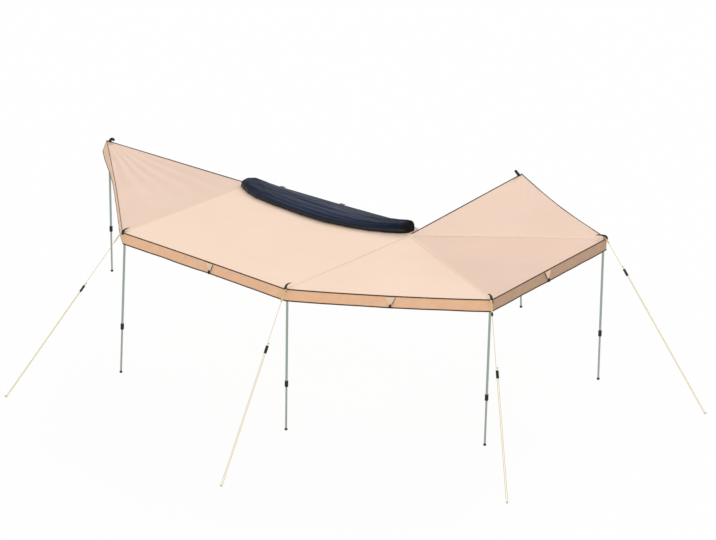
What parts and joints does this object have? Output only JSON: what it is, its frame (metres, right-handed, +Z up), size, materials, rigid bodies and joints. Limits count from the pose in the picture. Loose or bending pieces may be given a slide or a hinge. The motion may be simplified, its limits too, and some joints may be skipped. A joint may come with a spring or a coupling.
{
  "type": "vehicle side awning",
  "caption": "Vehicle side awning that wraps round three sides: arms folding on two hubs, canopy with valance, telescopic poles, guy ropes.",
  "frame": {"origin": "underside centre of the middle roof bracket's foot, 1.70 m above the ground that the poles stand on", "axes": "+X towards the vehicle's front along the rail, +Y outboard to the vehicle's left, +Z up"},
  "size_m": [8.4067, 6.1937, 1.9824],
  "materials": {
    "aluminium": "satin",
    "black_plastic": "matte",
    "black_steel": "satin",
    "zinc_steel": "satin",
    "canopy_cloth": "matte",
    "bag_cloth": "matte",
    "rope": "matte"
  },
  "bodies": {
    "rail": {"base_rail": "aluminium", "rail_cap_rear": "black_plastic", "rail_cap_front": "black_plastic", "roof_bracket_rear": "black_steel", "roof_bracket_middle": "black_steel", "roof_bracket_front": "black_steel", "hub_bracket_rear": "black_steel", "hub_bracket_front": "black_steel", "king_pin_rear": "zinc_steel", "king_pin_front": "zinc_steel", "canopy_side_rear": "canopy_cloth", "canopy_side_front": "canopy_cloth", "travel_bag": "bag_cloth"},
    "arm_a_body": {"arm_a": "aluminium", "tip_fitting_a": "black_plastic"},
    "upper_pole_a_body": {"upper_pole_a": "aluminium"},
    "pole_clamp_a_body": {"pole_clamp_a": "black_plastic"},
    "lower_pole_a_body": {"lower_pole_a": "aluminium"},
    "arm_b_body": {"arm_b": "aluminium", "tip_fitting_b": "black_plastic", "guy_rope_b": "rope", "ground_peg_b": "zinc_steel", "canopy_ab": "canopy_cloth"},
    "upper_pole_b_body": {"upper_pole_b": "aluminium"},
    "pole_clamp_b_body": {"pole_clamp_b": "black_plastic"},
    "lower_pole_b_body": {"lower_pole_b": "aluminium"},
    "tensioner_b_body": {"rope_tensioner_b": "black_plastic"},
    "arm_c_body": {"arm_c": "aluminium", "tip_fitting_c": "black_plastic", "guy_rope_c": "rope", "ground_peg_c": "zinc_steel", "canopy_cd": "canopy_cloth"},
    "upper_pole_c_body": {"upper_pole_c": "aluminium"},
    "pole_clamp_c_body": {"pole_clamp_c": "black_plastic"},
    "lower_pole_c_body": {"lower_pole_c": "aluminium"},
    "tensioner_c_body": {"rope_tensioner_c": "black_plastic"},
    "arm_d_body": {"arm_d": "aluminium", "tip_fitting_d": "black_plastic", "guy_rope_d": "rope", "ground_peg_d": "zinc_steel", "canopy_de": "canopy_cloth"},
    "upper_pole_d_body": {"upper_pole_d": "aluminium"},
    "pole_clamp_d_body": {"pole_clamp_d": "black_plastic"},
    "lower_pole_d_body": {"lower_pole_d": "aluminium"},
    "tensioner_d_body": {"rope_tensioner_d": "black_plastic"},
    "arm_e_body": {"arm_e": "aluminium", "tip_fitting_e": "black_plastic", "guy_rope_e": "rope", "ground_peg_e": "zinc_steel", "canopy_ef": "canopy_cloth"},
    "upper_pole_e_body": {"upper_pole_e": "aluminium"},
    "pole_clamp_e_body": {"pole_clamp_e": "black_plastic"},
    "lower_pole_e_body": {"lower_pole_e": "aluminium"},
    "tensioner_e_body": {"rope_tensioner_e": "black_plastic"},
    "arm_f_body": {"arm_f": "aluminium", "tip_fitting_f": "black_plastic"},
    "upper_pole_f_body": {"upper_pole_f": "aluminium"},
    "pole_clamp_f_body": {"pole_clamp_f": "black_plastic"},
    "lower_pole_f_body": {"lower_pole_f": "aluminium"}
  },
  "joints": [
    {"name": "rear_fold", "type": "hinge", "parent": "rail", "child": "arm_c_body", "pos_m": [-1.28, 0.2953, -0.0043], "axis": [0, 0, 1], "range_deg": [-90, 0], "deforming": ["canopy_side_rear", "travel_bag", "guy_rope_c"]},
    {"name": "arm_d_fold", "type": "hinge", "parent": "arm_c_body", "child": "arm_d_body", "pos_m": [-1.28, 0.2953, -0.0403], "axis": [0, 0, 1], "range_deg": [-57.8, 0], "deforming": ["canopy_cd", "guy_rope_d"]},
    {"name": "arm_e_fold", "type": "hinge", "parent": "arm_d_body", "child": "arm_e_body", "pos_m": [-1.28, 0.2953, -0.0763], "axis": [0, 0, 1], "range_deg": [-57.8, 0], "deforming": ["canopy_de", "guy_rope_e"]},
    {"name": "arm_f_fold", "type": "hinge", "parent": "arm_e_body", "child": "arm_f_body", "pos_m": [-1.28, 0.2953, -0.1123], "axis": [0, 0, 1], "range_deg": [-57.8, 0], "deforming": ["canopy_ef"]},
    {"name": "front_fold", "type": "hinge", "parent": "rail", "child": "arm_b_body", "pos_m": [1.28, 0.1753, -0.0043], "axis": [0, 0, 1], "range_deg": [0, 90], "deforming": ["canopy_side_front", "travel_bag", "guy_rope_b"]},
    {"name": "arm_a_fold", "type": "hinge", "parent": "arm_b_body", "child": "arm_a_body", "pos_m": [1.28, 0.1753, -0.0403], "axis": [0, 0, 1], "range_deg": [0, 84.8], "deforming": ["canopy_ab"]},
    {"name": "pole_a_stow", "type": "hinge", "parent": "arm_a_body", "child": "upper_pole_a_body", "pos_m": [3.56974, 0.2953, 0.0024], "axis": [-0.0525, 0.9986, 0.0055], "range_deg": [0, 88.5]},
    {"name": "clamp_a_twist", "type": "hinge", "parent": "upper_pole_a_body", "child": "pole_clamp_a_body", "pos_m": [3.56974, 0.2953, 0.0024], "axis": [-0.0092, -0.006, 0.9999], "range_deg": [0, 60]},
    {"name": "pole_a_extend", "type": "slide", "parent": "upper_pole_a_body", "child": "lower_pole_a_body", "axis": [-0.0092, -0.006, 0.9999], "range_m": [-0.25, 0.5]},
    {"name": "pole_b_stow", "type": "hinge", "parent": "arm_b_body", "child": "upper_pole_b_body", "pos_m": [1.28, 2.46819, 0.0384], "axis": [-0.9997, 0.0009, -0.0254], "range_deg": [0, 91.2]},
    {"name": "clamp_b_twist", "type": "hinge", "parent": "upper_pole_b_body", "child": "pole_clamp_b_body", "pos_m": [1.28, 2.46819, 0.0384], "axis": [-0.0254, -0.0561, 0.9981], "range_deg": [0, 60]},
    {"name": "pole_b_extend", "type": "slide", "parent": "upper_pole_b_body", "child": "lower_pole_b_body", "axis": [-0.0254, -0.0561, 0.9981], "range_m": [-0.25, 0.5]},
    {"name": "pole_c_stow", "type": "hinge", "parent": "arm_c_body", "child": "upper_pole_c_body", "pos_m": [-1.32002, 2.58784, 0.0384], "axis": [-0.9991, -0.0161, -0.0402], "range_deg": [0, 86.8]},
    {"name": "clamp_c_twist", "type": "hinge", "parent": "upper_pole_c_body", "child": "pole_clamp_c_body", "pos_m": [-1.32002, 2.58784, 0.0384], "axis": [-0.0405, 0.0208, 0.999], "range_deg": [0, 60]},
    {"name": "pole_c_extend", "type": "slide", "parent": "upper_pole_c_body", "child": "lower_pole_c_body", "axis": [-0.0405, 0.0208, 0.999], "range_m": [-0.25, 0.5]},
    {"name": "pole_d_stow", "type": "hinge", "parent": "arm_d_body", "child": "upper_pole_d_body", "pos_m": [-3.2854, 1.40691, 0.0024], "axis": [-0.4854, -0.8739, -0.026], "range_deg": [0, 88.4]},
    {"name": "clamp_d_twist", "type": "hinge", "parent": "upper_pole_d_body", "child": "pole_clamp_d_body", "pos_m": [-3.2854, 1.40691, 0.0024], "axis": [-0.0055, -0.0267, 0.9996], "range_deg": [0, 60]},
    {"name": "pole_d_extend", "type": "slide", "parent": "upper_pole_d_body", "child": "lower_pole_d_body", "axis": [-0.0055, -0.0267, 0.9996], "range_m": [-0.25, 0.5]},
    {"name": "pole_e_stow", "type": "hinge", "parent": "arm_e_body", "child": "upper_pole_e_body", "pos_m": [-3.24539, -0.88562, -0.0336], "axis": [0.5141, -0.8573, -0.0252], "range_deg": [0, 87.8]},
    {"name": "clamp_e_twist", "type": "hinge", "parent": "upper_pole_e_body", "child": "pole_clamp_e_body", "pos_m": [-3.24539, -0.88562, -0.0336], "axis": [0.0105, -0.0231, 0.9997], "range_deg": [0, 60]},
    {"name": "pole_e_extend", "type": "slide", "parent": "upper_pole_e_body", "child": "lower_pole_e_body", "axis": [0.0105, -0.0231, 0.9997], "range_m": [-0.25, 0.5]},
    {"name": "pole_f_stow", "type": "hinge", "parent": "arm_f_body", "child": "upper_pole_f_body", "pos_m": [-1.23998, -1.99724, -0.0696], "axis": [0.9998, 0.017, -0.0143], "range_deg": [0, 89.9]},
    {"name": "clamp_f_twist", "type": "hinge", "parent": "upper_pole_f_body", "child": "pole_clamp_f_body", "pos_m": [-1.23998, -1.99724, -0.0696], "axis": [0.0137, 0.033, 0.9994], "range_deg": [0, 60]},
    {"name": "pole_f_extend", "type": "slide", "parent": "upper_pole_f_body", "child": "lower_pole_f_body", "axis": [0.0137, 0.033, 0.9994], "range_m": [-0.25, 0.5]},
    {"name": "tensioner_b_slide", "type": "slide", "parent": "arm_b_body", "child": "tensioner_b_body", "axis": [0.2585, 0.5973, -0.7592], "range_m": [-0.02, 0.4]},
    {"name": "tensioner_c_slide", "type": "slide", "parent": "arm_c_body", "child": "tensioner_c_body", "axis": [-0.1212, 0.63, -0.767], "range_m": [-0.02, 0.4]},
    {"name": "tensioner_d_slide", "type": "slide", "parent": "arm_d_body", "child": "tensioner_d_body", "axis": [-0.4359, 0.4483, -0.7803], "range_m": [-0.02, 0.4]},
    {"name": "tensioner_e_slide", "type": "slide", "parent": "arm_e_body", "child": "tensioner_e_body", "axis": [-0.6388, 0.0287, -0.7688], "range_m": [-0.02, 0.25]}
  ],
  "couplings": [
    {"joint": "arm_d_fold", "follows": "rear_fold", "ratio": 0.64222},
    {"joint": "arm_e_fold", "follows": "rear_fold", "ratio": 0.64222},
    {"joint": "arm_f_fold", "follows": "rear_fold", "ratio": 0.64222},
    {"joint": "arm_a_fold", "follows": "front_fold", "ratio": 0.94222}
  ]
}
